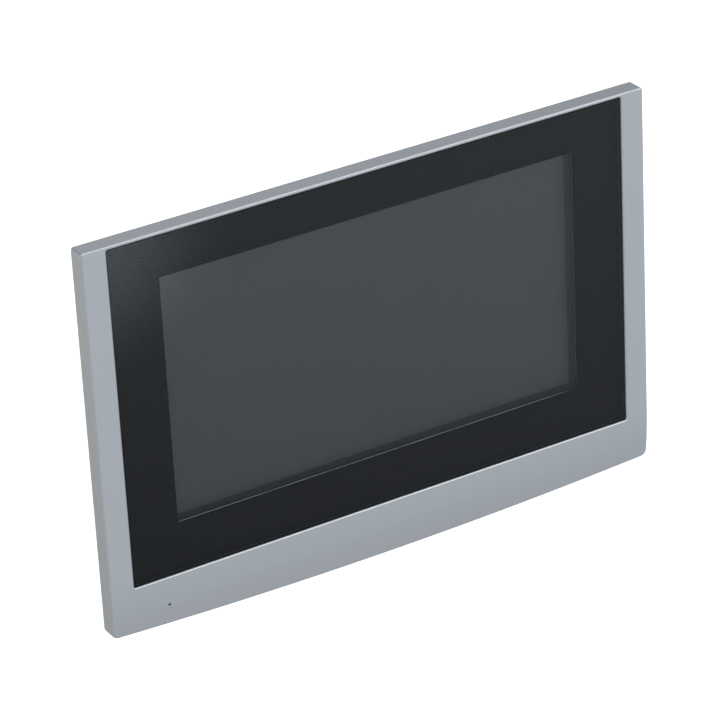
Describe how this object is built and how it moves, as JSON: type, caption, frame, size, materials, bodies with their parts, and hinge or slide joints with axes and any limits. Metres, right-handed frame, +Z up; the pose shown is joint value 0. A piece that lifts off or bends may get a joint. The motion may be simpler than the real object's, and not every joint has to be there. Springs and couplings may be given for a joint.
{
  "type": "video intercom indoor monitor",
  "caption": "Wall-hung indoor video intercom monitor: a wide touch display behind black-bordered glass in a silver frame, on a hook-on steel wall bracket.",
  "frame": {"origin": "centre of the wall bracket's screw pattern, on the wall plane", "axes": "+X to the right of someone facing the screen, +Y into the wall, +Z up"},
  "size_m": [0.212, 0.02, 0.143],
  "materials": {
    "silver_frame": "fine metallic silver paint, low sheen",
    "cover_glass": "polished float glass",
    "border_ink": "screen-printed black border",
    "display": "dark anti-glare polariser over the unlit cell",
    "clear_film": "clear or milky film and acrylic",
    "sheet_steel": "tin-plated or zinc-plated sheet",
    "dark_foam": "closed-cell foam and double-sided tape",
    "white_tray": "white moulded tray",
    "flat_cable": "amber polyimide",
    "board_green": "green solder mask",
    "chip_black": "black moulded packages",
    "rear_plastic": "fine-textured grey ABS",
    "screw_steel": "zinc-plated steel",
    "bracket_steel": "galvanised sheet steel",
    "rubber": "matt rubber",
    "header_plastic": "natural nylon",
    "contact_metal": "gold-flashed contacts",
    "switch_blue": "blue moulded switch body",
    "switch_white": "white switch levers",
    "card_black": "black memory card",
    "speaker_black": "black frame and paper cone",
    "magnet": "nickel-plated steel pot",
    "lead_red": "PVC insulation",
    "capacitor_can": "aluminium can",
    "battery_steel": "stainless steel cell"
  },
  "bodies": {
    "bracket": {"wall_bracket": "bracket_steel"},
    "monitor": {"front_frame": "silver_frame", "cover_glass": "cover_glass", "glass_border": "border_ink", "glass_tape": "dark_foam", "touch_sensor": "clear_film", "touch_flex": "flat_cable", "panel_gasket": "dark_foam", "panel_bezel": "sheet_steel", "display_cell": "display", "diffuser_films": "clear_film", "light_guide": "clear_film", "led_strip": "header_plastic", "panel_tray": "white_tray", "display_flex": "flat_cable", "panel_clamps": "sheet_steel", "clamp_screws": "screw_steel", "rear_cover": "rear_plastic", "rear_screws": "screw_steel", "wall_pads": "rubber", "main_board": "board_green", "board_screws": "screw_steel", "flex_sockets": "header_plastic", "processor": "chip_black", "memory_chips": "chip_black", "radio_module": "sheet_steel", "power_inductors": "chip_black", "board_capacitors": "capacitor_can", "chip_capacitors": "header_plastic", "battery_holder": "chip_black", "clock_battery": "battery_steel", "wire_headers": "header_plastic", "header_pins": "contact_metal", "lead_sockets": "header_plastic", "dip_switch": "switch_blue", "reset_switch": "chip_black", "card_socket": "sheet_steel", "speaker_basket": "speaker_black", "speaker_magnet": "magnet", "speaker_surround": "rubber", "speaker_gasket": "dark_foam", "speaker_lead": "lead_red", "microphone_boot": "rubber", "microphone_capsule": "magnet", "microphone_lead": "lead_red"},
    "card": {"memory_card": "card_black"},
    "plunger": {"reset_plunger": "switch_white"},
    "cone": {"speaker_cone": "speaker_black"},
    "dip_1": {"dip_slider_1": "switch_white"},
    "dip_2": {"dip_slider_2": "switch_white"},
    "dip_3": {"dip_slider_3": "switch_white"},
    "dip_4": {"dip_slider_4": "switch_white"}
  },
  "joints": [
    {"name": "lift_off", "type": "slide", "parent": "bracket", "child": "monitor", "axis": [0, 0, 1], "range_m": [0, 0.006]},
    {"name": "card_slide", "type": "slide", "parent": "monitor", "child": "card", "axis": [1, 0, 0], "range_m": [-0.0008, 0.014]},
    {"name": "reset_press", "type": "slide", "parent": "monitor", "child": "plunger", "axis": [0, -1, 0], "range_m": [0, 0.00025], "stiffness_N_per_m": 6000},
    {"name": "cone_stroke", "type": "slide", "parent": "monitor", "child": "cone", "axis": [0, 1, 0], "range_m": [-0.0008, 0.0008], "stiffness_N_per_m": 1500},
    {"name": "dip_slide_1", "type": "slide", "parent": "monitor", "child": "dip_1", "axis": [0, 0, 1], "range_m": [0, 0.0016]},
    {"name": "dip_slide_2", "type": "slide", "parent": "monitor", "child": "dip_2", "axis": [0, 0, 1], "range_m": [0, 0.0016]},
    {"name": "dip_slide_3", "type": "slide", "parent": "monitor", "child": "dip_3", "axis": [0, 0, 1], "range_m": [0, 0.0016]},
    {"name": "dip_slide_4", "type": "slide", "parent": "monitor", "child": "dip_4", "axis": [0, 0, 1], "range_m": [0, 0.0016]}
  ]
}
